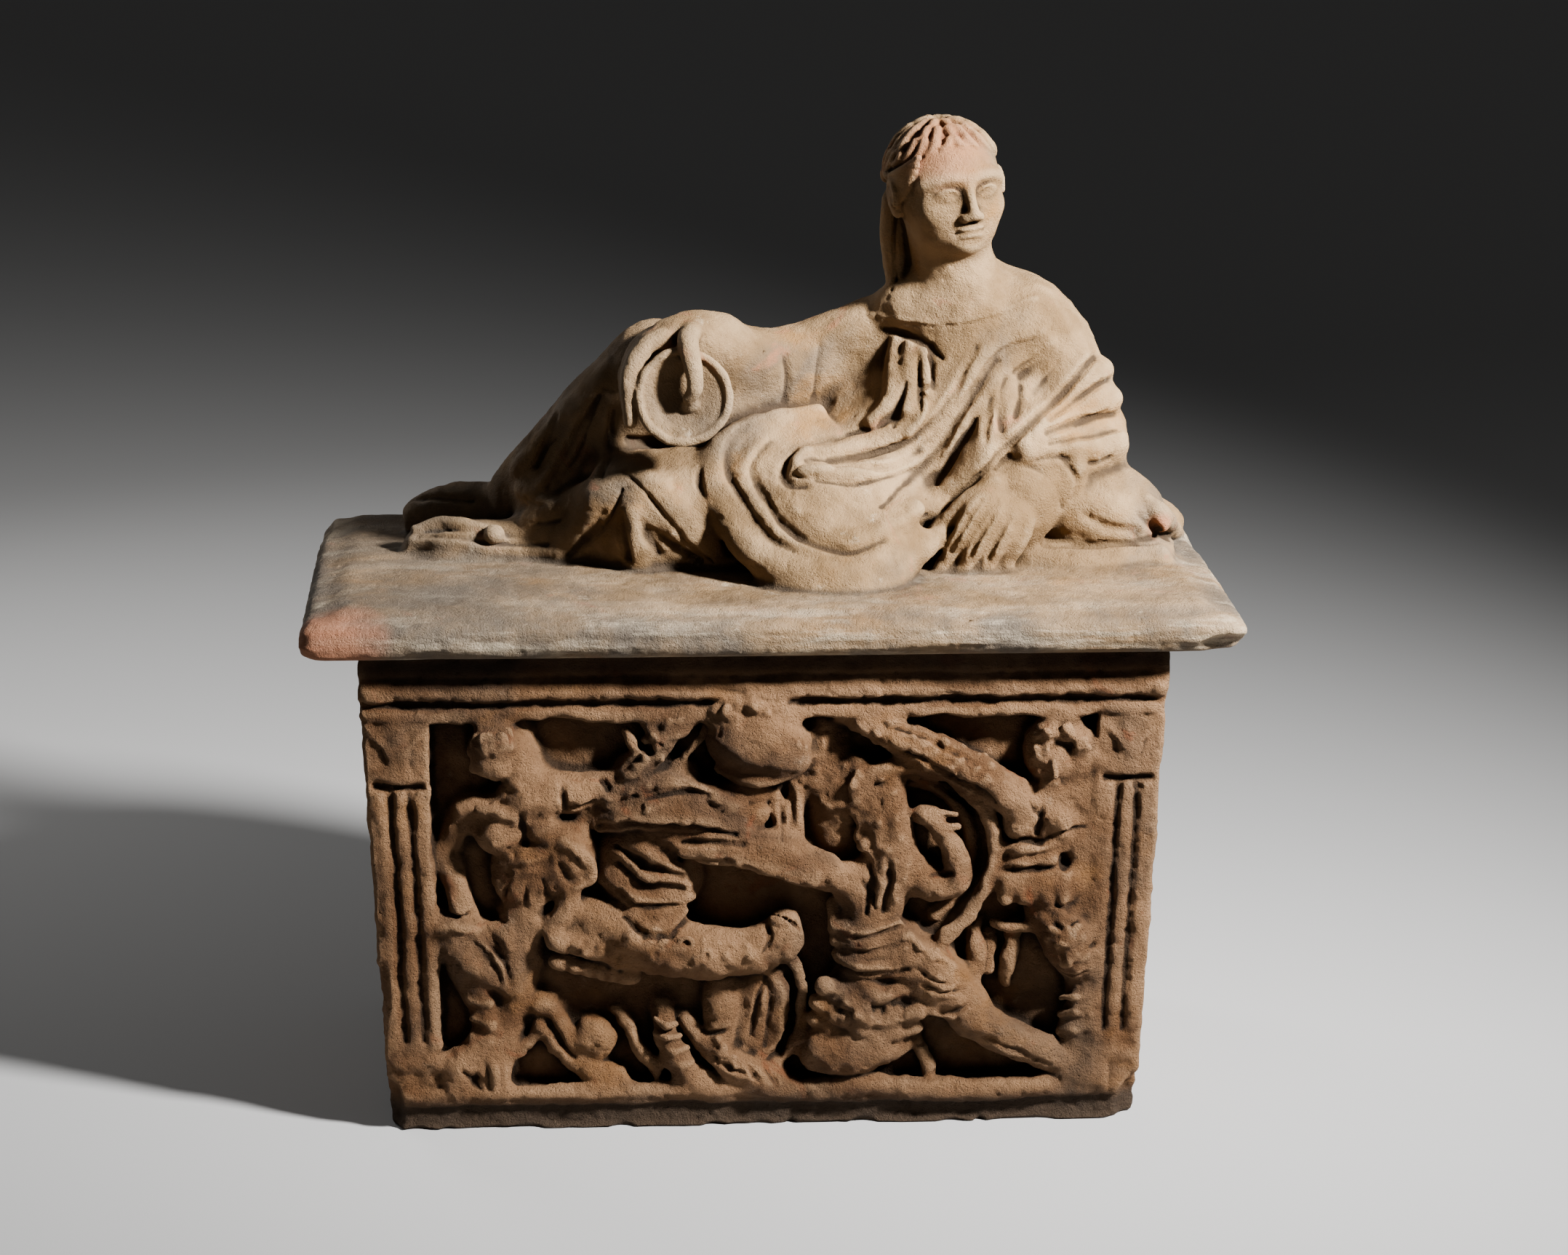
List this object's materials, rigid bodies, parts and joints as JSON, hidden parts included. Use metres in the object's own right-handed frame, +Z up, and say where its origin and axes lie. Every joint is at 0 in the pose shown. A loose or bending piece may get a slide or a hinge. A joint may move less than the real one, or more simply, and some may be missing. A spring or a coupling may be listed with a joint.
{
  "type": "terracotta cinerary urn",
  "caption": "Small rectangular clay ash chest with a carved battle front and a loose lid carrying a reclining draped figure with an offering bowl.",
  "frame": {"origin": "on the ground, under the middle of the lid's outline", "axes": "+Z up, +X to the viewer's right along the long side, +Y away from the viewer, carved front facing -Y"},
  "size_m": [0.66, 0.34, 0.703],
  "materials": {
    "chest_clay": null,
    "lid_clay": null
  },
  "bodies": {
    "root": {"chest": "chest_clay", "lid": "lid_clay"}
  },
  "joints": []
}
